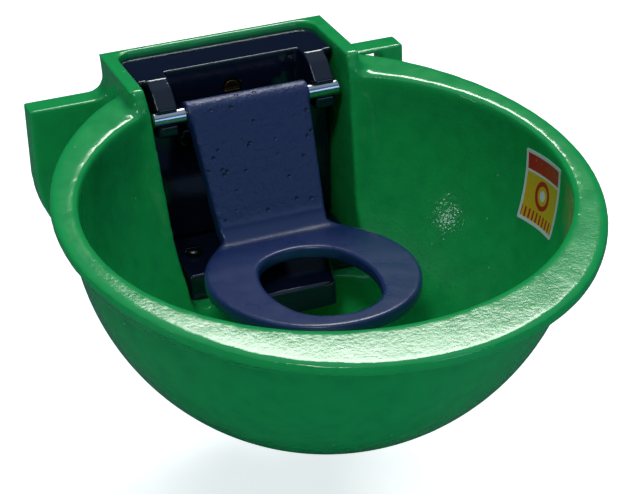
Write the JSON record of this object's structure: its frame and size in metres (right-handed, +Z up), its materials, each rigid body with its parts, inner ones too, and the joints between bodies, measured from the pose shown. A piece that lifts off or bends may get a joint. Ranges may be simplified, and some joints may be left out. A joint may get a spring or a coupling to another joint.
{
  "type": "livestock drinking bowl",
  "caption": "Enamelled cast drinking bowl for wall mounting, with a hinged ring paddle that an animal pushes to open the water valve behind it.",
  "frame": {"origin": "on the back face that lies against the wall, midway between the two fixing holes and at their height", "axes": "+Z up, +Y into the wall, so the bowl reaches out towards -Y; +X to the right as seen from the front"},
  "size_m": [0.253, 0.3057, 0.146],
  "materials": {
    "green_enamel": "gloss",
    "dark_enamel": "gloss",
    "dark_plastic": "satin",
    "bright_steel": "polished",
    "brass": "satin",
    "seal_rubber": "matte",
    "pad_plastic": "matte",
    "label_film": "gloss"
  },
  "bodies": {
    "casting": {"bowl": "green_enamel", "cover_screws": "bright_steel", "deflector_screws": "bright_steel", "flow_screw_seal": "seal_rubber", "hinge_pin": "bright_steel", "inlet_locknut": "brass", "inlet_strainer": "bright_steel", "inlet_washer": "seal_rubber", "outlet_deflector": "dark_plastic", "return_spring": "bright_steel", "sticker": "label_film", "valve_body": "brass", "valve_bonnet": "brass", "valve_cover": "dark_plastic", "valve_gasket": "seal_rubber", "valve_seat": "brass"},
    "paddle": {"paddle": "dark_enamel"},
    "plunger": {"valve_plunger": "brass", "plunger_cap": "pad_plastic", "valve_washer": "seal_rubber"},
    "flow_screw": {"flow_screw": "brass"}
  },
  "joints": [
    {"name": "paddle_hinge", "type": "hinge", "parent": "casting", "child": "paddle", "pos_m": [0, -0.052, 0.0407], "axis": [1, 0, 0], "range_deg": [0, 8], "stiffness_Nm_per_rad": 4, "springref_deg": -9.17},
    {"name": "plunger_slide", "type": "slide", "parent": "casting", "child": "plunger", "axis": [0, 1, 0], "range_m": [0, 0.0041], "deforming": ["return_spring"]},
    {"name": "flow_screw_turn", "type": "hinge", "parent": "casting", "child": "flow_screw", "pos_m": [0, -0.028, 0.041], "axis": [0, -1, 0], "range_deg": [-270, 270]}
  ],
  "couplings": [
    {"joint": "plunger_slide", "follows": "paddle_hinge", "m_per_rad": 0.0287}
  ]
}
